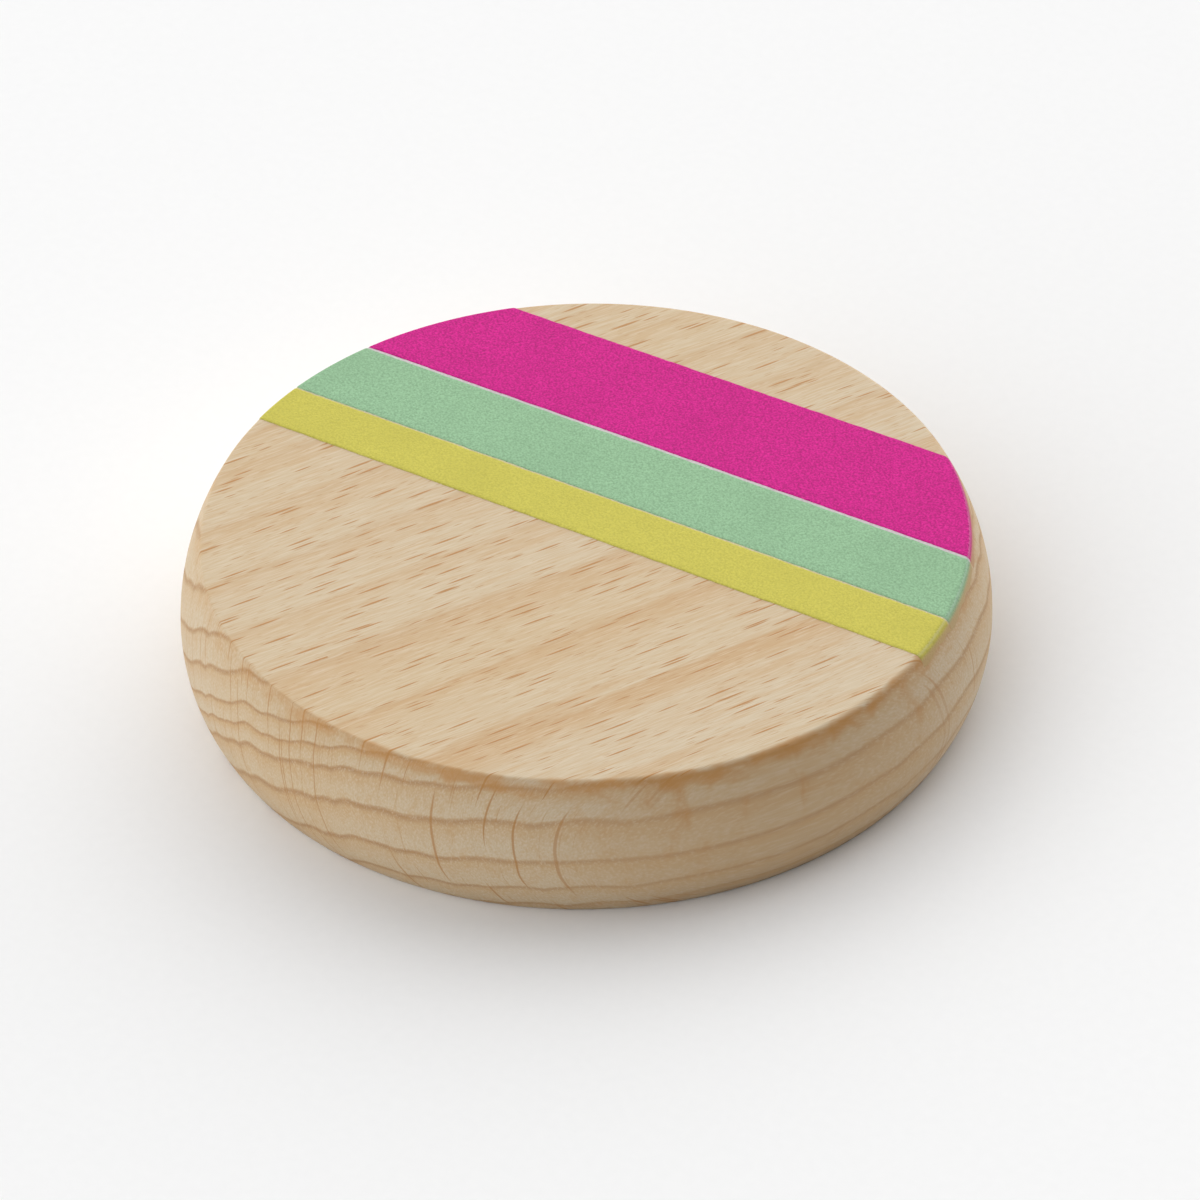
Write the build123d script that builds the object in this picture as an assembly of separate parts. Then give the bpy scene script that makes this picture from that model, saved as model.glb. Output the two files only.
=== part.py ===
from build123d import *
import os
from math import asin, degrees

# A turned beech disc with three painted stripes across its top face, in millimetres.
# Frame: +Z up, origin at the centre of the bottom face, stripes running along X,
# the yellow stripe nearest the centre and the magenta stripe furthest towards +Y.

# The disc
widest_radius = 40.0
thickness = 15.5
widest_height = 6.2
top_draw_in = 2.4
bottom_draw_in = 1.85
top_arris_round = 0.35
bottom_arris_round = 0.3

# The paint
yellow_start = -0.7
yellow_width = 6.05
mint_width = 9.1
magenta_width = 13.1
yellow_mint_gap = 0.12
mint_magenta_gap = 0.25
undercoat_film = 0.05
colour_film = 0.07
paint_lap = 0.3

# Stripe edges, counted along Y from the disc's centre
yellow_end = yellow_start + yellow_width
mint_start = yellow_end + yellow_mint_gap
mint_end = mint_start + mint_width
magenta_start = mint_end + mint_magenta_gap
magenta_end = magenta_start + magenta_width


def flank_radius(height, draw_in):
    """Radius of the arc that leaves the widest line upright and draws in over a height."""
    return (height ** 2 + draw_in ** 2) / (2 * draw_in)


upper_flank = flank_radius(thickness - widest_height, top_draw_in)
lower_flank = flank_radius(widest_height, bottom_draw_in)


def turned_disc(skin=0.0):
    """The disc, grown outwards by a skin all over.

    Two arcs meet upright on the widest line and end at the flat faces, and both
    arrises are rounded. Growing keeps every arc's centre, so the skin is even.
    """
    top = thickness + skin
    bottom = -skin
    upper = upper_flank + skin
    lower = lower_flank + skin
    upper_centre = (widest_radius - upper_flank, widest_height)
    lower_centre = (widest_radius - lower_flank, widest_height)
    upper_turn = degrees(asin((top - widest_height) / upper))
    lower_turn = degrees(asin((widest_height - bottom) / lower))

    lower_arc = CenterArc(lower_centre, lower, -lower_turn, lower_turn)
    upper_arc = CenterArc(upper_centre, upper, 0, upper_turn)
    outline = Line((0, bottom), lower_arc @ 0)
    outline += lower_arc
    outline += upper_arc
    outline += Line(upper_arc @ 1, (0, top))
    outline += Line((0, top), (0, bottom))

    solid = revolve(Plane.XZ * make_face(outline), Axis.Z)
    solid = fillet(solid.edges().group_by(Axis.Z)[-1], top_arris_round + skin)
    return fillet(solid.edges().group_by(Axis.Z)[0], bottom_arris_round + skin)


def paint_film(inner_skin, outer_skin, start, end):
    """The paint between two skins of the disc, masked to a band across the top.

    The band runs right across the face and laps over the arris by paint_lap.
    """
    reach = 2 * (widest_radius + outer_skin)
    depth = paint_lap + outer_skin
    band = Pos(0, (start + end) / 2, thickness - paint_lap) * Box(
        reach, end - start, depth, align=(Align.CENTER, Align.CENTER, Align.MIN)
    )
    return (turned_disc(outer_skin) & band) - turned_disc(inner_skin)


def colour_stripe(start, end):
    """One colour coat, lying on the undercoat."""
    return paint_film(undercoat_film, undercoat_film + colour_film, start, end)


parts = {
    "beech_disc": turned_disc(),
    "white_undercoat": paint_film(0, undercoat_film, yellow_start, magenta_end),
    "yellow_stripe": colour_stripe(yellow_start, yellow_end),
    "mint_stripe": colour_stripe(mint_start, mint_end),
    "magenta_stripe": colour_stripe(magenta_start, magenta_end),
}

os.makedirs("parts", exist_ok=True)
for node, shape in parts.items():
    export_step(shape, f"parts/{node}.step")
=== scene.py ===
import math
from functools import partial

import bpy
import numpy as np
from mathutils import Matrix, Vector


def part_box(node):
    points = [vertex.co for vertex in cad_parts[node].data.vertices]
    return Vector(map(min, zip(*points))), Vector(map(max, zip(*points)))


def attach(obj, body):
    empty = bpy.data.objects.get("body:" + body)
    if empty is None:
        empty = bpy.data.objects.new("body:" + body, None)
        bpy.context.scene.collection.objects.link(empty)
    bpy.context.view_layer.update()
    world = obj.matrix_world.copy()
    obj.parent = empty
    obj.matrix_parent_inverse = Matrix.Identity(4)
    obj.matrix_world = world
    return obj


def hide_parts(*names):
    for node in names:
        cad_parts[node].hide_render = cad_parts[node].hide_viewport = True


bl_info = {
    "name": "Striped beech disc",
    "version": (1, 0, 0),
    "blender": (4, 5, 0),
    "location": "3D View > Sidebar > Striped Disc",
    "description": "Builds a turned beech disc with three painted stripes, and its studio",
    "category": "Add Mesh",
}

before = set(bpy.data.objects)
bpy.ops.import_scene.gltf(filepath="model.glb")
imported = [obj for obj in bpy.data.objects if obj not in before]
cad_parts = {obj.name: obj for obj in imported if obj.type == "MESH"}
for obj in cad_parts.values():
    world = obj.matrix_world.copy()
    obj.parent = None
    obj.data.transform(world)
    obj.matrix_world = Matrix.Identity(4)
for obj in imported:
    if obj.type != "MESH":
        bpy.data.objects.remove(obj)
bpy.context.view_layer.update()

MM = 0.001
DISC = "beech_disc"
UNDERCOAT = "white_undercoat"

# Seeds of the laps' wandering ends, and of the undercoat's edges and skin
LAP_SEED = 7
UNDERCOAT_EDGE_SEED = 50
UNDERCOAT_SKIN_SEED = 11

# Kinds of node, and the places of a colour mix's inputs and output
MATH = "ShaderNodeMath"
VECTOR = "ShaderNodeVectorMath"
RANGE = "ShaderNodeMapRange"
NOISE = "ShaderNodeTexNoise"
VORONOI = "ShaderNodeTexVoronoi"
MIX = "ShaderNodeMix"
FACTOR, UNDER, OVER, MIXED = 0, 6, 7, 2


# ---------------------------------------------------------------- small tools


def linear(hex_colour):
    """An sRGB hex colour as linear red, green, blue and alpha."""
    srgb = np.array([int(hex_colour[i : i + 2], 16) for i in (1, 3, 5)]) / 255
    low = srgb / 12.92
    high = ((srgb + 0.055) / 1.055) ** 2.4
    return (*np.where(srgb <= 0.04045, low, high).tolist(), 1.0)


def add(tree, kind, inputs, out=0, **settings):
    """Adds one node, sets it, fills or links its inputs, and returns one of its outputs."""
    node = tree.nodes.new(kind)
    for name, value in settings.items():
        setattr(node, name, value)
    for name, value in inputs.items():
        if isinstance(value, bpy.types.NodeSocket):
            tree.links.new(value, node.inputs[name])
        else:
            node.inputs[name].default_value = value
    return node.outputs[out]


def new_material(name):
    """An empty node material, with the tool that adds nodes to it."""
    material = bpy.data.materials.new(name)
    material.use_nodes = True
    material.node_tree.nodes.clear()
    return material, partial(add, material.node_tree)


def ripple(along, spacing, seed):
    """A smooth random line from -1 to 1: random heights at even spacing, joined by cosines."""
    steps = along / spacing
    low = np.floor(steps).astype(int)
    heights = np.random.default_rng(seed).uniform(-1, 1, low.max() - low.min() + 2)
    blend = 0.5 - 0.5 * np.cos(math.pi * (steps - low))
    start = heights[low - low.min()]
    return start + (heights[low - low.min() + 1] - start) * blend


def add_piece(name, points, faces, material, slot, node):
    """Makes a smooth mesh piece that rides on the root body in place of a CAD node."""
    mesh = bpy.data.meshes.new(name)
    mesh.from_pydata(points.tolist(), [], faces)
    mesh.polygons.foreach_set("use_smooth", np.ones(len(mesh.polygons), dtype=bool))
    mesh.materials.append(material)
    mesh.update()
    piece = bpy.data.objects.new(name, mesh)
    bpy.context.scene.collection.objects.link(piece)
    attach(piece, "root")
    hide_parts(node)


# ---------------------------------------------------------------- the disc's shape


class Turning:
    """The disc's outline from the top's centre round to the bottom's, in metres.

    Leg 0 is the top flat, leg 1 the round on the top arris, legs 2 and 3 the flanks, which
    meet upright on the widest line, leg 4 the bottom round and leg 5 the bottom flat. The
    top round grows from crisp to soft round one side, as hand sanding leaves it.
    """

    def __init__(self, sizes):
        low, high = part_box(DISC)
        self.radius = (high.x - low.x) / 2
        self.top = high.z
        self.sizes = sizes
        self.upper = self.flank(self.top - sizes.widest_height, sizes.top_draw_in)
        self.lower = self.flank(sizes.widest_height, sizes.bottom_draw_in)
        foot = sizes.bottom_arris
        drop = sizes.widest_height - foot
        out = math.sqrt((self.lower - foot) ** 2 - drop**2)
        self.foot_radius = self.radius - self.lower + out
        self.foot_turn = math.atan2(drop, out)

    @staticmethod
    def flank(height, draw_in):
        """Radius of the arc that draws in over a height from an upright start."""
        return (height**2 + draw_in**2) / (2 * draw_in)

    def top_round(self, angle):
        """The top round's radius, its centre's distance from the axis, and its last normal.

        The radius goes from crisp to soft with the square of a raised cosine round the soft
        side, times a waver of up to a fifth, such as a hand leaves.
        """
        s = self.sizes
        lean = (0.5 + 0.5 * np.cos(angle - s.soft_side)) ** 2
        hand = 1 + 0.12 * np.sin(5 * angle + 1.3) + 0.08 * np.sin(11 * angle)
        size = (s.crisp_arris + (s.soft_arris - s.crisp_arris) * lean) * hand
        rise = self.top - size - s.widest_height
        out = np.sqrt((self.upper - size) ** 2 - rise**2)
        return size, self.radius - self.upper + out, np.arctan2(rise, out)

    def outline(self, step, angle):
        """Distance from the axis, height, and the normal's angle above level, at a step.

        The whole part of step is the leg, and the rest is how far along it. An arc adds its
        radius times the change in its normal's cosine outwards, and in its sine upwards.
        """
        size, centre, turn = self.top_round(angle)
        share = [np.clip(step - leg, 0, 1) for leg in range(6)]
        quarter = math.pi / 2
        arcs = (
            (size, quarter, turn),
            (self.upper, turn, 0),
            (self.lower, 0, -self.foot_turn),
            (self.sizes.bottom_arris, -self.foot_turn, -quarter),
        )
        out = centre * share[0] - self.foot_radius * share[5]
        up = self.top
        normal = quarter
        for leg, (reach, start, end) in enumerate(arcs, 1):
            now = start + (end - start) * share[leg]
            out = out + reach * (np.cos(now) - np.cos(start))
            up = up + reach * (np.sin(now) - np.sin(start))
            normal = normal + (end - start) * share[leg]
        return out, up, normal


def disc_surface(turning, around=512):
    """The closed disc: points of the outline, each carried round the axis as a ring.

    A point at distance r, height z and angle a is (r cos a, r sin a, z). The two centres
    are single points.
    """
    legs = ((0, 30), (1, 9), (2, 30), (3, 26), (4, 6), (5, 16))
    steps = np.concatenate([leg + np.arange(count) / count for leg, count in legs])[1:, None]
    angle = np.linspace(0, 2 * math.pi, around, endpoint=False)[None, :]
    out, up, _ = turning.outline(steps, angle)
    rings = np.stack([out * np.cos(angle), out * np.sin(angle), up + 0 * out], axis=-1)
    poles = np.array([[0, 0, turning.top], [0, 0, 0]])
    index = np.arange(rings[..., 0].size).reshape(len(steps), around)
    beside = np.roll(index, -1, axis=1)
    quads = np.stack([index[:-1], index[1:], beside[1:], beside[:-1]], axis=-1)
    crown = np.stack([np.full(around, index.size), index[0], beside[0]], axis=-1)
    base = np.stack([np.full(around, index.size + 1), beside[-1], index[-1]], axis=-1)
    faces = quads.reshape(-1, 4).tolist() + crown.tolist() + base.tolist()
    return np.concatenate([rings.reshape(-1, 3), poles]), faces


def closed_sheet(upper, lower):
    """Two matching grids of points, joined round their rims into one closed skin."""
    rows, columns = upper.shape[:2]
    index = np.arange(rows * columns).reshape(rows, columns)
    quads = np.stack([index[:-1, :-1], index[1:, :-1], index[1:, 1:], index[:-1, 1:]], axis=-1)
    quads = quads.reshape(-1, 4)
    rim = np.concatenate([index[:-1, 0], index[-1, :-1], index[:0:-1, -1], index[0, :0:-1]])
    on = np.roll(rim, -1)
    wall = np.stack([rim, rim + index.size, on + index.size, on], axis=-1)
    faces = np.concatenate([quads, quads[:, ::-1] + index.size, wall])
    return np.concatenate([upper.reshape(-1, 3), lower.reshape(-1, 3)]), faces.tolist()


def film_surface(turning, stripe, thickness, lap, seed):
    """A paint film: rows run along X between two edges of a stripe, and lap over the arris.

    Over the flat, X is even. Beyond, it is the square root of r squared less y squared,
    where r follows the disc's outline over the arris and down the flank by lap, whose end
    wanders. Each point is then lifted along the outline's normal. The lift is the thickness
    over most of the film. It falls to nothing in a quarter circle over the last quarter of
    a millimetre, as paint does along tape, and thins out from the arris to the lap's end.
    The underside is sunk a hundredth of a millimetre into the wood, so that the film's skin
    and the wood's never coincide.
    """
    start, end = stripe
    edge = 0.24 * MM
    row_spacing = 0.45 * MM
    sunk = 0.01 * MM
    near = edge * np.array([0, 0.1, 0.3, 0.6, 1.0])
    width = end - start
    count = int(width / row_spacing)
    middle = np.linspace(edge, width - edge, count)[1:-1]
    across = np.concatenate([near, middle, width - near[::-1]])[None, :]
    y = start + across

    # Over the rim, on the side where X is positive and on the other
    to_arris = np.linspace(0.96, 1, 6)
    round_arris = np.linspace(1, 2, 9)[1:]
    down_flank = 2 + lap * np.linspace(0, 1, 7)[1:]
    steps = np.concatenate([to_arris, round_arris, down_flank])[:, None]
    fine_stray = ripple(y / MM, 0.9, LAP_SEED)
    broad_stray = ripple(y / MM, 3.1, LAP_SEED + 1)
    stray = 0.5 * fine_stray + 0.5 * broad_stray
    sides = []
    for side in (1, -1):
        wander = np.where(steps > 2, 1 + 0.6 * side * stray, 1)
        reached = 2 + (steps - 2) * wander
        out = np.full(y.shape, turning.radius - turning.sizes.top_draw_in)
        for _ in range(4):
            angle = np.arctan2(y, side * np.sqrt(out**2 - y**2))
            out, up, normal = turning.outline(reached, angle)
        sides.append((side * np.sqrt(out**2 - y**2), up, normal + 0 * out))
    (x_right, z_right, n_right), (x_left, z_left, n_left) = sides
    even = np.linspace(0, 1, 300)[1:-1, None]
    x_flat = x_left[0] + (x_right[0] - x_left[0]) * even
    x = np.concatenate([x_left[::-1], x_flat, x_right])
    z = np.concatenate([z_left[::-1], np.full(x_flat.shape, turning.top), z_right])
    normal = np.concatenate([n_left[::-1], np.full(x_flat.shape, math.pi / 2), n_right])

    # The masked edges wander by a few hundredths of a millimetre
    y = y + 0 * x
    share = across / width
    for weight, edge_seed in (((1 - share) ** 8, seed + 2), (share**8, seed + 4)):
        line = 0.03 * ripple(x / MM, 1.2, edge_seed) + 0.02 * ripple(x / MM, 0.4, edge_seed + 1)
        y = y + MM * line * weight

    # Across, the film ends in quarter circles; along, it thins out over the lap
    to_side = np.clip(np.minimum(across, width - across) / edge, 0, 1)
    to_end = np.ones(len(x))
    to_end[: len(steps)] = np.clip((2 + lap - steps[::-1, 0]) / (1 + lap), 0, 1)
    to_end[-len(steps) :] = to_end[: len(steps)][::-1]
    rounded = np.sqrt(1 - (1 - to_side) ** 2) * (1 - (1 - to_end[:, None]) ** 2)
    angle = np.arctan2(y, x)
    level = np.cos(normal)
    lift = np.stack([level * np.cos(angle), level * np.sin(angle), np.sin(normal)], axis=-1)
    place = np.stack([x, y, z], axis=-1)
    upper = place + lift * (thickness * rounded)[..., None]
    lower = place - lift * sunk
    return closed_sheet(upper, lower)


# ---------------------------------------------------------------- beech

# Where each year's growth ends, in millimetres from the pith, and how brown its late wood
# is: about 3 mm a year, with two lean and darker years in the middle
YEARS = (
    *((76, 0.6), (79, 0.7), (81.8, 0.8), (84.6, 0.6), (88.2, 0.7), (92.3, 0.8)),
    *((95.6, 0.8), (97.4, 1.0), (99.3, 0.8), (102.2, 0.7), (105.2, 0.5), (108.9, 0.45)),
    *((112.7, 0.45), (116.3, 0.4), (119.3, 0.5), (122.4, 0.5), (125.6, 0.6), (128.6, 0.6)),
)

# A ray fills its share of a cell of this length along the fibres and width across them, in
# millimetres. The shares run from the smallest ray's to the largest's
BROAD_RAYS = {"cell": (10.5, 0.64), "shares": (0.09, 0.23), "run": 16.0}
FINE_RAYS = {"cell": (3.6, 0.34), "shares": (0.06, 0.20), "run": 8.0}


def scaled(n, place, size):
    """The place counted in steps of a size along each axis."""
    return n(VECTOR, {0: place, 1: tuple(1 / length for length in size)}, operation="MULTIPLY")


def curve_through(n, value, points):
    """A value looked up on straight lines through points whose ends are at 0 and 1."""
    curve = n("ShaderNodeFloatCurve", {"Value": value})
    mapping = curve.node.mapping
    line = mapping.curves[0]
    line.points[0].location, line.points[-1].location = points[0], points[-1]
    for point in points[1:-1]:
        line.points.new(*point)
    for point in line.points:
        point.handle_type = "VECTOR"
    mapping.update()
    return curve


def year_rings(n, straight, outward, end_grain, flat):
    """How much late wood there is: a soft share of each year, and its thin last line.

    The distance from the pith, swayed by half a millimetre over a few centimetres and
    scalloped between the rays, is looked up on a curve through the ends of the years.
    """
    sway = n(NOISE, {"Vector": scaled(n, straight, (130, 11, 30)), "Scale": 1.0, "Detail": 1.0})
    kink = n(NOISE, {"Vector": scaled(n, straight, (45, 4.2, 16)), "Scale": 1.0, "Detail": 0.0})
    off_cusp = n(MATH, {0: kink, 1: 0.5}, operation="SUBTRACT")
    scallop = n(MATH, {0: off_cusp}, operation="ABSOLUTE")
    swayed = n(MATH, {0: sway, 1: 1.3, 2: outward}, operation="MULTIPLY_ADD")
    scalloped = n(MATH, {0: scallop, 1: -1.8, 2: swayed}, operation="MULTIPLY_ADD")
    growth = n(MATH, {0: scalloped, 1: 0.45}, operation="SUBTRACT")

    first, last, count = YEARS[0][0], YEARS[-1][0], len(YEARS) - 1
    age = n(RANGE, {0: growth, 1: first, 2: last, 3: 0.0, 4: 1.0})
    ends = [((end - first) / (last - first), year / count) for year, (end, _) in enumerate(YEARS)]
    share_of_all = curve_through(n, age, ends)
    year = n(MATH, {0: share_of_all, 1: float(count)}, operation="MULTIPLY")
    season = n(MATH, {0: year}, operation="FRACT")
    ordinal = n(MATH, {0: year}, operation="CEIL")
    which = n(MATH, {0: ordinal, 1: float(count)}, operation="DIVIDE")
    brown = curve_through(n, which, [(year / count, depth) for year, (_, depth) in enumerate(YEARS)])

    # Late wood deepens through the year and stops short at its end
    deepen = n(RANGE, {0: season, 1: 0.2, 2: 0.9, 3: 0.0, 4: 1.0}, interpolation_type="SMOOTHSTEP")
    stop = n(RANGE, {0: season, 1: 0.90, 2: 1.0, 3: 1.0, 4: 0.0})
    plain = n(RANGE, {0: end_grain, 1: 0.15, 2: 0.85, 3: 0.72, 4: 0.85})
    deepened = n(MATH, {0: deepen, 1: brown}, operation="MULTIPLY")
    stopped = n(MATH, {0: deepened, 1: stop}, operation="MULTIPLY")
    soft = n(MATH, {0: stopped, 1: plain}, operation="MULTIPLY")

    # The last line is plain on end grain, fainter along the flank and all but lost on the faces
    rise = n(RANGE, {0: season, 1: 0.72, 2: 0.95, 3: 0.0, 4: 1.0}, interpolation_type="SMOOTHSTEP")
    on_end = n(RANGE, {0: end_grain, 1: 0.15, 2: 0.85, 3: 0.12, 4: 0.95})
    on_flank = n(MATH, {0: flat, 1: 0.5}, operation="MULTIPLY")
    shown = n(MATH, {0: on_end, 1: on_flank}, operation="MAXIMUM")
    rising = n(MATH, {0: rise, 1: shown}, operation="MULTIPLY")
    line = n(MATH, {0: rising, 1: stop}, operation="MULTIPLY")
    return soft, line


def rays(n, round_pith, cell, shares, run):
    """A mask of rays: upright lenses, long in the radius, in cells along and across the fibres.

    Each is cut to its own share of its cell by a pointed distance, and comes and goes
    along the radius over a run in millimetres.
    """
    flat = scaled(n, round_pith, (*cell, 1e6))
    lens = n(
        VORONOI,
        {"Vector": flat, "Scale": 1.0, "Exponent": 1.6},
        "Distance",
        voronoi_dimensions="2D",
        distance="MINKOWSKI",
    )
    lot = lens.node.outputs["Color"]
    outward = scaled(n, round_pith, (1e6, 1e6, run))
    length = n(VECTOR, {0: lot, 1: (40.0, 40.0, 40.0), 2: outward}, operation="MULTIPLY_ADD")
    fade = n(NOISE, {"Vector": length, "Scale": 1.0, "Detail": 0.0})
    present = n(RANGE, {0: fade, 1: 0.34, 2: 0.46, 3: 0.0, 4: 1.0}, interpolation_type="SMOOTHSTEP")
    chance = n("ShaderNodeSeparateColor", {"Color": lot})
    largest = n(RANGE, {0: chance, 1: 0.0, 2: 1.0, 3: shares[0], 4: shares[1]})
    reach = n(MATH, {0: largest, 1: present}, operation="MULTIPLY")
    kept = n(MATH, {0: reach, 1: 1e-4}, operation="MAXIMUM")
    depth = n(MATH, {0: lens, 1: kept}, operation="DIVIDE")
    edge = {0: depth, 1: 0.55, 2: 1.05, 3: 1.0, 4: 0.0}
    return n(RANGE, edge, interpolation_type="SMOOTHSTEP")


def browning_and_side_shade(n, here, arris, soft_side):
    """A mask of wood brown from the tool's heat and from hands, along and below the arris,
    which also paints shade.

    It falls off with distance from a circle just below the arris, more slowly down the
    flank than in across the top, and is patchy. It is strongest round one side, the side away
    from the light, where it is painted shade of that side as well as browning.
    """
    place = scaled(n, here, (MM, MM, MM))
    level = n(VECTOR, {0: place, 1: (1, 1, 0)}, operation="MULTIPLY")
    from_axis = n(VECTOR, {0: level}, "Value", operation="LENGTH")
    height = n("ShaderNodeSeparateXYZ", {"Vector": place}, "Z")
    inward = n(MATH, {0: from_axis, 1: arris[0] / MM}, operation="SUBTRACT")
    below = n(MATH, {0: height, 1: arris[1] / MM}, operation="SUBTRACT")
    inside = n(MATH, {0: inward, 1: 0.0}, operation="MINIMUM")
    steep = n(MATH, {0: inside, 1: 3.5}, operation="MULTIPLY")
    lowered = n(MATH, {0: below, 1: 0.45}, operation="ADD")
    off = n("ShaderNodeCombineXYZ", {"X": steep, "Y": lowered})
    away = n(VECTOR, {0: off}, "Value", operation="LENGTH")
    patchy = n(NOISE, {"Vector": scaled(n, place, (2.6, 2.6, 1.3)), "Scale": 1.0, "Detail": 2.0})
    ragged = n(MATH, {0: patchy, 1: -4.5, 2: away}, operation="MULTIPLY_ADD")
    rim = n(RANGE, {0: ragged, 1: -3.0, 2: -0.6, 3: 0.72, 4: 0.0}, interpolation_type="SMOOTHSTEP")
    # The side where it is strongest faces away from the light, so this lean paints that side's shade as well
    # as browning from hands
    side = (math.cos(soft_side), math.sin(soft_side), 0)
    lean = n(VECTOR, {0: place, 1: side}, "Value", operation="DOT_PRODUCT")
    rubbed_and_shaded_side = n(RANGE, {0: lean, 1: -5.0, 2: 33.0, 3: 0.12, 4: 1.0}, interpolation_type="SMOOTHSTEP")
    return n(MATH, {0: rim, 1: rubbed_and_shaded_side}, operation="MULTIPLY")


def sanded_beech(looks, arris):
    """Steamed European beech, turned across the grain and sanded bare.

    Its colour is three solid patterns round the tree's pith, which lies beside and below
    the disc: year rings that darken outwards, rays that show as brown flecks on the face
    and as thin lines across the rings on end grain, and fine fibres, pale and dark. With
    no varnish the wood is dull. Its arris is brown from the tool's heat and from hands, and
    darker still round the side away from the light, as painted shade.
    """
    material, n = new_material("beech_sanded_bare")
    here = n("ShaderNodeTexCoord", {}, "Object")
    grain = looks.grain_angle
    pith = (0, looks.pith_side / MM, looks.pith_depth / MM)

    # Millimetres along the fibres (X), across them (Y) and upwards (Z) from the pith,
    # and the same in the round: along, round the pith at the disc's middle, and out from it
    middle = math.hypot(pith[1], pith[2] + arris[1] / MM)
    log = n(
        "ShaderNodeMapping",
        {"Vector": here, "Location": pith, "Rotation": (0, 0, -grain), "Scale": (1 / MM,) * 3},
    )
    along = n("ShaderNodeSeparateXYZ", {"Vector": log})
    sideways, upward = (along.node.outputs[axis] for axis in "YZ")
    across = n(VECTOR, {0: log, 1: (0, 1, 1)}, operation="MULTIPLY")
    outward = n(VECTOR, {0: across}, "Value", operation="LENGTH")
    turn = n(MATH, {0: sideways, 1: upward}, operation="ARCTAN2")
    arc = n(MATH, {0: turn, 1: middle}, operation="MULTIPLY")
    straight = n("ShaderNodeCombineXYZ", {"X": along, "Y": arc, "Z": outward})

    # Fibres and rays wander a little round the pith as they go out and along
    stray = n(NOISE, {"Vector": scaled(n, straight, (40, 14, 7)), "Scale": 1.0, "Detail": 1.0}, "Color")
    aside = n(VECTOR, {0: stray, 1: (0, 1.6, 0), 2: straight}, operation="MULTIPLY_ADD")

    # How squarely the surface cuts the fibres: 0 on the faces, 1 on end grain
    facing = n("ShaderNodeTexCoord", {}, "Normal")
    fibre_way = (math.cos(grain), math.sin(grain), 0)
    cut = n(VECTOR, {0: facing, 1: fibre_way}, "Value", operation="DOT_PRODUCT")
    end_grain = n(MATH, {0: cut}, operation="ABSOLUTE")

    # How flat it lies to the rays: 1 where they show their sides, as on quarter-sawn wood
    side_way = (-math.sin(grain), math.cos(grain), 0)
    sideways_cut = n(VECTOR, {0: facing, 1: side_way}, "Value", operation="DOT_PRODUCT")
    up_cut = n("ShaderNodeSeparateXYZ", {"Vector": facing}, "Z")
    one_part = n(MATH, {0: sideways_cut, 1: upward}, operation="MULTIPLY")
    other_part = n(MATH, {0: up_cut, 1: sideways}, operation="MULTIPLY")
    both = n(MATH, {0: one_part, 1: other_part}, operation="SUBTRACT")
    sized = n(MATH, {0: both, 1: outward}, operation="DIVIDE")
    flatness = n(MATH, {0: sized}, operation="ABSOLUTE")
    flat = n(RANGE, {0: flatness, 1: 0.76, 2: 0.97, 3: 0.0, 4: 1.0}, interpolation_type="SMOOTHSTEP")

    soft_late, last_line = year_rings(n, straight, outward, end_grain, flat)
    broad_ray = rays(n, aside, **BROAD_RAYS)
    fine_ray = rays(n, aside, **FINE_RAYS)
    # Brown band along the arris, partly painted shade
    browned_and_shaded = browning_and_side_shade(n, here, arris, looks.soft_side)

    # Fibres are streaks a seventh of a millimetre wide, in veins of about a millimetre
    fibre = n(NOISE, {"Vector": scaled(n, aside, (2.8, 0.14, 0.24)), "Scale": 1.0, "Detail": 2.0})
    vein = n(NOISE, {"Vector": scaled(n, aside, (16, 0.8, 1.4)), "Scale": 1.0, "Detail": 2.0})
    drift = n(NOISE, {"Vector": scaled(n, log, (60, 18, 18)), "Scale": 1.0, "Detail": 1.0})

    # Where rays show their sides they are broad soft patches, and fibres hardly show
    patch = n(NOISE, {"Vector": scaled(n, straight, (2.2, 9, 4.5)), "Scale": 1.0, "Detail": 4.0})
    patched = n(RANGE, {0: patch, 1: 0.52, 2: 0.84, 3: 0.0, 4: 1.0}, interpolation_type="SMOOTHSTEP")
    high = n(RANGE, {0: upward, 1: pith[2] + 7.0, 2: pith[2] + 13.0, 3: 0.15, 4: 1.0})
    patched_high = n(MATH, {0: patched, 1: high}, operation="MULTIPLY")
    flat_ray = n(MATH, {0: patched_high, 1: flat}, operation="MULTIPLY")
    warm_flat = n(MATH, {0: flat, 1: 0.42}, operation="MULTIPLY")
    ray_strength = n(RANGE, {0: flat, 1: 0.0, 2: 0.8, 3: 0.9, 4: 0.04})
    ray_share = n(RANGE, {0: end_grain, 1: 0.2, 2: 0.9, 3: 1.0, 4: 0.7})
    ray_shown = n(MATH, {0: ray_strength, 1: ray_share}, operation="MULTIPLY")
    fibre_strength = n(RANGE, {0: flat, 1: 0.0, 2: 1.0, 3: 0.46, 4: 0.26})

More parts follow.
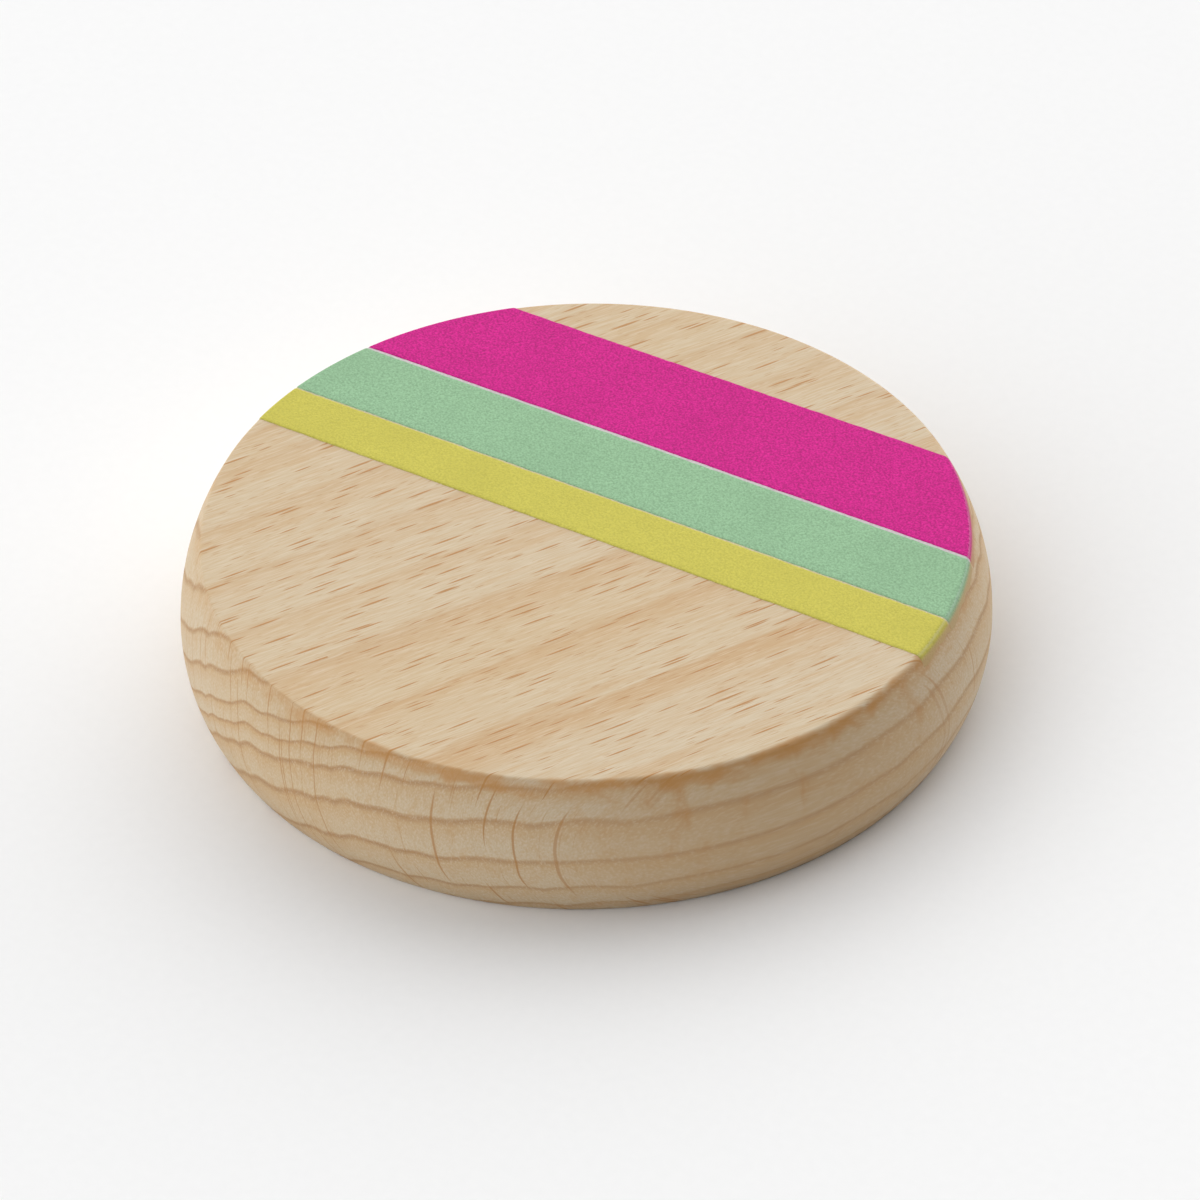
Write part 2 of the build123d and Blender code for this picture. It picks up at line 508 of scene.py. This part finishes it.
    # The colours, each laid over the ones before by its share
    darker = n(RANGE, {0: fibre, 1: 0.50, 2: 0.28, 3: 0.0, 4: 1.0})
    paler = n(RANGE, {0: fibre, 1: 0.50, 2: 0.72, 3: 0.0, 4: 1.0})
    dark_fibre = n(MATH, {0: darker, 1: fibre_strength}, operation="MULTIPLY")
    pale_fibre = n(MATH, {0: paler, 1: fibre_strength}, operation="MULTIPLY")
    dark_vein = n(RANGE, {0: vein, 1: 0.50, 2: 0.30, 3: 0.0, 4: 0.35})
    drifted = n(RANGE, {0: drift, 1: 0.3, 2: 0.7, 3: 0.0, 4: 0.7})
    broad_share = n(MATH, {0: broad_ray, 1: ray_shown}, operation="MULTIPLY")
    fine_shown = n(MATH, {0: ray_shown, 1: 0.45}, operation="MULTIPLY")
    fine_share = n(MATH, {0: fine_ray, 1: fine_shown}, operation="MULTIPLY")
    colour = looks.early_wood
    layers = (
        (drifted, looks.warm_wood),
        (warm_flat, looks.late_wood),
        (soft_late, looks.late_wood),
        (last_line, looks.ring_line),
        (dark_vein, looks.late_wood),
        (dark_fibre, looks.late_wood),
        (pale_fibre, looks.pale_fibre),
        (fine_share, looks.ray),
        (broad_share, looks.ray),
        (flat_ray, looks.burnish_and_shade),
        # Brown along the arris: heat and hands, and painted shade on the side away from the light
        (browned_and_shaded, looks.burnish_and_shade),
    )
    for share, laid in layers:
        colour = n(MIX, {FACTOR: share, UNDER: colour, OVER: laid}, MIXED, data_type="RGBA")

    # Sanding leaves fibres and rays a hundredth of a millimetre proud, and rays glossier
    relief = n(MATH, {0: broad_ray, 1: 0.5, 2: fibre}, operation="MULTIPLY_ADD")
    bump = n("ShaderNodeBump", {"Height": relief, "Strength": 0.5, "Distance": 0.03 * MM})
    dullness = n(RANGE, {0: broad_ray, 1: 0.0, 2: 1.0, 3: 0.66, 4: 0.52})
    finish = {"Roughness": dullness, "IOR": 1.5, "Specular IOR Level": 0.25, "Normal": bump}
    shader = n("ShaderNodeBsdfPrincipled", {"Base Color": colour, **finish})
    n("ShaderNodeOutputMaterial", {"Surface": shader}, out=slice(0))
    return material


# ---------------------------------------------------------------- paint


def satin_paint(name, colour, wood_colour_with_shade, top, seed, peel_shade=1.0, bled=None):
    """Water-based acrylic paint, rolled on thin over sanded wood and left to dry.

    It dries to a fine orange-peel skin, about a quarter of a millimetre from bump to bump,
    with a low sheen. Pale specks lie here and there. Where it laps over the arris, a thin pale
    line is painted just below it, partly wear that sanding cut through and partly the arris's
    painted highlight, and below that it fades into wood, darkened there by painted shade.
    Peel shade is how far the bumps' colour is painted darker in their hollows and paler on
    their crowns: painted shade and painted highlight of the orange peel. Bled is a colour that
    has crept under the tape, and the Y where it stops.
    """
    material, n = new_material(name)
    here = n("ShaderNodeTexCoord", {}, "Object")
    place = scaled(n, here, (MM, MM, MM))

    # Each film has its own part of the noise, tilted out of line with the stripes
    start = (seed * 7.3, seed * 3.1, seed * 1.7)
    tilt = (0.5, 0.3, 0.9)
    shifted = n("ShaderNodeMapping", {"Vector": place, "Location": start, "Rotation": tilt})
    peel = n(NOISE, {"Vector": shifted, "Scale": 4.5, "Detail": 2.0, "Roughness": 0.6})
    cloud = n(NOISE, {"Vector": shifted, "Scale": 0.12, "Detail": 2.0})

    # Sparse pale specks up to 0.3 mm across, where the surface cuts small balls of the noise
    speck = n(VORONOI, {"Vector": shifted, "Scale": 0.33}, "Distance")
    lot = n("ShaderNodeSeparateColor", {"Color": speck.node.outputs["Color"]})
    reach = n(RANGE, {0: lot, 1: 0.5, 2: 1.0, 3: 0.001, 4: 0.05})
    depth = n(MATH, {0: speck, 1: reach}, operation="DIVIDE")
    dust = n(RANGE, {0: depth, 1: 0.6, 2: 1.0, 3: 0.35, 4: 0.0})

    # Depth below the top, made ragged, for the pale line with its painted highlight and for the fade
    height = n("ShaderNodeSeparateXYZ", {"Vector": place}, "Z")
    drop = n(MATH, {0: top / MM, 1: height}, operation="SUBTRACT")
    ragged = n(MATH, {0: peel, 1: 0.2, 2: drop}, operation="MULTIPLY_ADD")
    # A thin pale band just under the arris: wear through the paint, and a painted highlight of the arris
    opening = n(RANGE, {0: ragged, 1: 0.15, 2: 0.22, 3: 0.0, 4: 0.30})
    closing = n(RANGE, {0: ragged, 1: 0.24, 2: 0.38, 3: 1.0, 4: 0.0})
    worn_line_and_highlight = n(MATH, {0: opening, 1: closing}, operation="MULTIPLY")
    # The lap fades into a wood colour darker than the bare wood: browned wood, with painted shade of the
    # flank
    fade_into_shaded_wood = n(RANGE, {0: ragged, 1: 0.24, 2: 0.90, 3: 0.0, 4: 0.92}, interpolation_type="SMOOTHSTEP")

    # The bumps' colour follows their height: darker in the hollows, paler and a little whitened on the
    # crowns. This is painted shade and painted highlight of the orange peel, over the bump's own shading.
    # The deeper tone also serves the broad clouds of uneven paint
    deep_tone_and_peel_shade = tuple((1 - 0.20 * peel_shade) * c for c in colour[:3]) + (1.0,)
    peel_highlight = tuple((1 + 0.15 * peel_shade) * c + 0.004 * peel_shade for c in colour[:3]) + (1.0,)
    # Pale colour for the dust specks, and for the line under the arris that is partly painted highlight
    pale = tuple(0.5 * c + 0.36 for c in colour[:3]) + (1.0,)
    peel_painted_shade = n(RANGE, {0: peel, 1: 0.52, 2: 0.32, 3: 0.0, 4: 0.7})
    peel_painted_highlight = n(RANGE, {0: peel, 1: 0.50, 2: 0.70, 3: 0.0, 4: 0.7})
    clouded = n(RANGE, {0: cloud, 1: 0.45, 2: 0.65, 3: 0.0, 4: 0.2 / peel_shade})
    layers = (
        # Painted shade and painted highlight of the peel bumps
        (peel_painted_shade, deep_tone_and_peel_shade),
        (peel_painted_highlight, peel_highlight),
        (clouded, deep_tone_and_peel_shade),
        (dust, pale),
        # Pale line under the arris, partly painted highlight
        (worn_line_and_highlight, pale),
        (fade_into_shaded_wood, wood_colour_with_shade),
    )
    laid = colour
    if bled:
        crept, stop = bled
        sideways = n("ShaderNodeSeparateXYZ", {"Vector": place}, "Y")
        stained = n(MATH, {0: sideways, 1: stop / MM}, operation="LESS_THAN")
        stain = n(MATH, {0: stained, 1: 0.75}, operation="MULTIPLY")
        laid = n(MIX, {FACTOR: stain, UNDER: laid, OVER: crept}, MIXED, data_type="RGBA")
    for share, over in layers:
        laid = n(MIX, {FACTOR: share, UNDER: laid, OVER: over}, MIXED, data_type="RGBA")
    bump = n("ShaderNodeBump", {"Height": peel, "Strength": 0.9, "Distance": 0.09 * MM})
    dullness = n(RANGE, {0: peel, 1: 0.3, 2: 0.7, 3: 0.54, 4: 0.66})
    finish = {"Roughness": dullness, "IOR": 1.48, "Specular IOR Level": 0.06, "Normal": bump}
    shader = n("ShaderNodeBsdfPrincipled", {"Base Color": laid, **finish})
    n("ShaderNodeOutputMaterial", {"Surface": shader}, out=slice(0))
    return material


# ---------------------------------------------------------------- what a user may change


def length(name, description, millimetres):
    """A property that holds a length."""
    return bpy.props.FloatProperty(
        name=name, description=description, default=millimetres * MM, unit="LENGTH", precision=5
    )


def angle(name, description, degrees):
    """A property that holds an angle."""
    return bpy.props.FloatProperty(
        name=name, description=description, default=math.radians(degrees), subtype="ANGLE"
    )


def colour(name, description, hex_colour):
    """A property that holds a colour."""
    return bpy.props.FloatVectorProperty(
        name=name, description=description, default=linear(hex_colour), size=4, subtype="COLOR", min=0, max=1
    )


class DiscSizes(bpy.types.PropertyGroup):
    """The turned shape."""

    widest_height: length("Widest height", "Height of the widest line", 6.2)
    top_draw_in: length("Top draw-in", "How far the edge draws in up to the top face", 2.4)
    bottom_draw_in: length("Bottom draw-in", "How far the edge draws in down to the bottom face", 1.85)
    bottom_arris: length("Bottom arris", "Radius of the bottom face's rounded arris", 0.3)
    crisp_arris: length("Crisp arris", "Radius of the top arris where it is crispest", 0.25)
    soft_arris: length("Soft arris", "Radius of the top arris where it is softest", 0.8)
    soft_side: angle("Soft side", "Direction of the arris's soft side, from +X", -10.0)


class BeechLooks(bpy.types.PropertyGroup):
    """The wood's grain and colours."""

    grain_angle: angle("Grain", "Direction of the fibres, from +X", 60.9)
    # The side where the arris is painted darkest: browning, and painted shade of the side away from the
    # light
    soft_side: angle("Browned side", "Direction in which the arris is most browned, from +X", -42.0)
    pith_side: length("Pith to the side", "How far the pith lies to the side of the axis", 40.0)
    pith_depth: length("Pith depth", "How far the pith lies below the bottom face", 80.0)
    early_wood: colour("Early wood", "Pale wood of spring", "#C5B499")
    warm_wood: colour("Warm wood", "Warmer drifts in the pale wood", "#C3AC89")
    late_wood: colour("Late wood", "Browner wood of summer", "#BC986C")
    ring_line: colour("Ring line", "The last wood of the year, on end grain", "#A07B53")
    pale_fibre: colour("Pale fibre", "The palest fibres", "#D3C4AC")
    ray: colour("Ray", "The rays' brown flecks", "#A9773E")
    # Brown of the arris, which also stands in for shade there, and of the rays' broad patches
    burnish_and_shade: colour("Burnish", "The browned arris", "#B58040")


class PaintLooks(bpy.types.PropertyGroup):
    """The stripes."""

    lap: bpy.props.FloatProperty(
        name="Lap", description="How far the paint laps down the flank, as a share of it", default=0.06
    )
    magenta: colour("Magenta", "The wide stripe", "#C52283")
    mint: colour("Mint", "The middle stripe", "#8EB48F")
    yellow: colour("Yellow", "The narrow stripe", "#C1B954")
    undercoat: colour("Undercoat", "The pale line between the stripes", "#C8BCC0")
    # Wood under the paint's lap, browner than bare wood partly from browning and partly as painted shade of
    # the flank
    fade_into_shaded_wood: colour("Faded to", "What the paint fades into on the flank", "#BA9D75")


class Studio(bpy.types.PropertyGroup):
    """The camera and the light."""

    azimuth: angle("Azimuth", "Which way round the camera stands; 0 looks along +Y", 31.66)
    elevation: angle("Elevation", "How high the camera stands", 38.965)
    roll: angle("Roll", "How far the camera leans", -1.184)
    distance: length("Distance", "From the camera to the point it aims at", 600.0)
    aim_right: length("Aim right", "How far right of the axis the camera aims", 1.355)
    aim_up: length("Aim up", "How far above the axis's middle the camera aims, on its own upright", -0.988)
    aim_height: length("Aim height", "Height of the axis's middle", 8.0)
    lens: bpy.props.FloatProperty(name="Lens", description="Focal length", default=182.7, unit="CAMERA")
    lamp_power: bpy.props.FloatProperty(
        name="Lamp", description="Power of the round soft lamp", default=0.74, unit="POWER"
    )
    lamp_azimuth: angle("Lamp azimuth", "Direction of the lamp, from +X", 166.0)
    lamp_height: angle("Lamp height", "How high the lamp stands", 50.0)
    window_height: angle("Window height", "How high the middle of each window stands", 20.0)
    left_azimuth: angle("Left window", "Direction of the left window, from +X", 231.7)
    left_glow: bpy.props.FloatProperty(
        name="Left glow", description="Brightness of the left window", default=1.7
    )
    back_azimuth: angle("Back window", "Direction of the back window, from +X", 98.0)
    back_glow: bpy.props.FloatProperty(
        name="Back glow", description="Brightness of the back window", default=2.8
    )


# ---------------------------------------------------------------- operators


class TurnBeech(bpy.types.Operator):
    """Turns the beech disc"""

    bl_idname = "striped_disc.turn_beech"
    bl_label = "Turn the beech disc"

    def execute(self, context):
        sizes = context.scene.disc_sizes
        turning = Turning(sizes)
        arris = (turning.radius - sizes.top_draw_in, turning.top)
        material = sanded_beech(context.scene.beech_looks, arris)
        add_piece("turned_beech", *disc_surface(turning), material, "beech", DISC)
        return {"FINISHED"}


class LayUndercoat(bpy.types.Operator):
    """Lays the white undercoat"""

    bl_idname = "striped_disc.lay_undercoat"
    bl_label = "Lay the undercoat"

    def execute(self, context):
        looks = context.scene.paint_looks
        turning = Turning(context.scene.disc_sizes)
        low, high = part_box(UNDERCOAT)
        inset = 0.15 * MM
        stripe = (low.y + inset, high.y - inset)

        # Yellow has crept under the tape, and stains it up to the middle of the mint stripe
        mint_low, mint_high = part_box("mint_stripe")
        bled = tuple(looks.yellow), (mint_low.y + mint_high.y) / 2
        colours = tuple(looks.undercoat), tuple(looks.fade_into_shaded_wood)
        name = "undercoat_white_acrylic"
        material = satin_paint(name, *colours, high.z, UNDERCOAT_SKIN_SEED, bled=bled)

        # It stops short of the colours, so that it never shows beyond their ends
        lap = 0.1 * looks.lap
        surface = film_surface(turning, stripe, high.z - turning.top, lap, UNDERCOAT_EDGE_SEED)
        add_piece("undercoat_film", *surface, material, "white_paint", UNDERCOAT)
        return {"FINISHED"}


class PaintStripes(bpy.types.Operator):
    """Paints the three stripes"""

    bl_idname = "striped_disc.paint_stripes"
    bl_label = "Paint the stripes"

    def execute(self, context):
        looks = context.scene.paint_looks
        turning = Turning(context.scene.disc_sizes)
        # How strongly each stripe's bumps carry painted shade and painted highlight
        peel_shades = {"yellow": 0.9, "mint": 1.5, "magenta": 2.3}
        for seed, (name, peel_shade) in enumerate(peel_shades.items()):
            node = f"{name}_stripe"
            low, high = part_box(node)
            stripe = (low.y, high.y)
            colours = tuple(getattr(looks, name)), tuple(looks.fade_into_shaded_wood)
            material = satin_paint(f"{name}_satin_acrylic", *colours, high.z, seed, peel_shade)
            surface = film_surface(turning, stripe, high.z - turning.top, looks.lap, 10 * seed)
            add_piece(f"{name}_film", *surface, material, f"{name}_paint", node)
        return {"FINISHED"}


def spherical(azimuth, elevation):
    """The direction at an angle from +X and a height above level."""
    level = math.cos(elevation)
    return Vector((level * math.cos(azimuth), level * math.sin(azimuth), math.sin(elevation)))


class SetStage(bpy.types.Operator):
    """Lays the floor, lights it softly and stands the camera"""

    bl_idname = "striped_disc.set_stage"
    bl_label = "Set the stage"

    def execute(self, context):
        scene = context.scene
        studio = scene.studio
        self.lay_floor(scene)
        self.light(scene, studio)
        self.stand_camera(scene, studio)
        scene.view_settings.view_transform = "Standard"
        return {"FINISHED"}

    def lay_floor(self, scene):
        material, n = new_material("floor_white_paper")
        here = n("ShaderNodeTexCoord", {}, "Object")

        # The paper's tooth, drawn a millimetre across: the real one is too fine to show
        tooth = n(NOISE, {"Vector": here, "Scale": 900.0, "Detail": 2.0})
        shade = n(RANGE, {0: tooth, 1: 0.3, 2: 0.7, 3: 0.925, 4: 0.935})
        shader = n("ShaderNodeBsdfDiffuse", {"Color": shade, "Roughness": 0.5})
        n("ShaderNodeOutputMaterial", {"Surface": shader}, out=slice(0))

        # It lies a hair below the disc, so that the two surfaces never coincide
        half = 3.0
        level = -0.05 * MM
        corners = [(-half, -half, level), (half, -half, level), (half, half, level), (-half, half, level)]
        mesh = bpy.data.meshes.new("floor")
        mesh.from_pydata(corners, [], [(0, 1, 2, 3)])
        mesh.materials.append(material)
        floor = bpy.data.objects.new("floor", mesh)
        scene.collection.objects.link(floor)

    def light(self, scene, studio):
        world = bpy.data.worlds.new("studio")
        world.use_nodes = True
        world.node_tree.nodes.clear()
        n = partial(add, world.node_tree)
        look = n("ShaderNodeTexCoord", {}, "Generated")
        strength = 0.0
        windows = ((studio.left_azimuth, studio.left_glow), (studio.back_azimuth, studio.back_glow))
        for azimuth, glow in windows:
            toward = spherical(azimuth, studio.window_height)
            facing = n(VECTOR, {0: look, 1: tuple(toward)}, "Value", operation="DOT_PRODUCT")
            edge = {0: facing, 1: 0.3, 2: 1.0, 3: 0.0, 4: 1.0}
            window = n(RANGE, edge, interpolation_type="SMOOTHSTEP")
            strength = n(MATH, {0: window, 1: glow, 2: strength}, operation="MULTIPLY_ADD")
        sky = n("ShaderNodeBackground", {"Color": (1, 1, 1, 1), "Strength": strength})
        n("ShaderNodeOutputWorld", {"Surface": sky}, out=slice(0))
        scene.world = world

        data = bpy.data.lights.new("soft_lamp", "AREA")
        data.shape = "DISK"
        data.size = 0.5
        data.energy = studio.lamp_power
        reach = 0.7
        lamp = bpy.data.objects.new("soft_lamp", data)
        toward = spherical(studio.lamp_azimuth, studio.lamp_height)
        place = Matrix.Translation(toward * reach)
        lamp.matrix_world = place @ toward.to_track_quat("Z", "Y").to_matrix().to_4x4()
        scene.collection.objects.link(lamp)

    def stand_camera(self, scene, studio):
        back = spherical(studio.azimuth - math.pi / 2, studio.elevation)
        right = Vector((math.cos(studio.azimuth), math.sin(studio.azimuth), 0))
        up = back.cross(right)
        aim = Vector((0, 0, studio.aim_height)) + right * studio.aim_right + up * studio.aim_up
        leaned = right * math.cos(studio.roll) + up * math.sin(studio.roll)
        upright = up * math.cos(studio.roll) - right * math.sin(studio.roll)
        turned = Matrix((leaned, upright, back)).transposed().to_4x4()
        data = bpy.data.cameras.new("camera")
        data.lens = studio.lens
        data.clip_start = 0.01
        camera = bpy.data.objects.new("camera", data)
        camera.matrix_world = Matrix.Translation(aim + back * studio.distance) @ turned
        scene.collection.objects.link(camera)
        scene.camera = camera


class StripedDiscPanel(bpy.types.Panel):
    """Lists the sizes, the looks and the steps"""

    bl_idname = "VIEW3D_PT_striped_disc"
    bl_label = "Striped Disc"
    bl_space_type = "VIEW_3D"
    bl_region_type = "UI"
    bl_category = "Striped Disc"

    def draw(self, context):
        layout = self.layout
        for name, group in GROUPS.items():
            box = layout.box()
            box.label(text=group.__doc__.rstrip("."))
            for key in group.__annotations__:
                box.prop(getattr(context.scene, name), key)
        for operator in OPERATORS:
            layout.operator(operator.bl_idname)


GROUPS = {"disc_sizes": DiscSizes, "beech_looks": BeechLooks, "paint_looks": PaintLooks, "studio": Studio}
OPERATORS = (TurnBeech, LayUndercoat, PaintStripes, SetStage)


def register():
    for cls in (*GROUPS.values(), *OPERATORS, StripedDiscPanel):
        bpy.utils.register_class(cls)
    for name, group in GROUPS.items():
        setattr(bpy.types.Scene, name, bpy.props.PointerProperty(type=group))


def unregister():
    for name in GROUPS:
        delattr(bpy.types.Scene, name)
    for cls in reversed((*GROUPS.values(), *OPERATORS, StripedDiscPanel)):
        bpy.utils.unregister_class(cls)


def main():
    register()
    bpy.ops.striped_disc.turn_beech()
    bpy.ops.striped_disc.lay_undercoat()
    bpy.ops.striped_disc.paint_stripes()
    bpy.ops.striped_disc.set_stage()


if __name__ == "__main__":
    main()
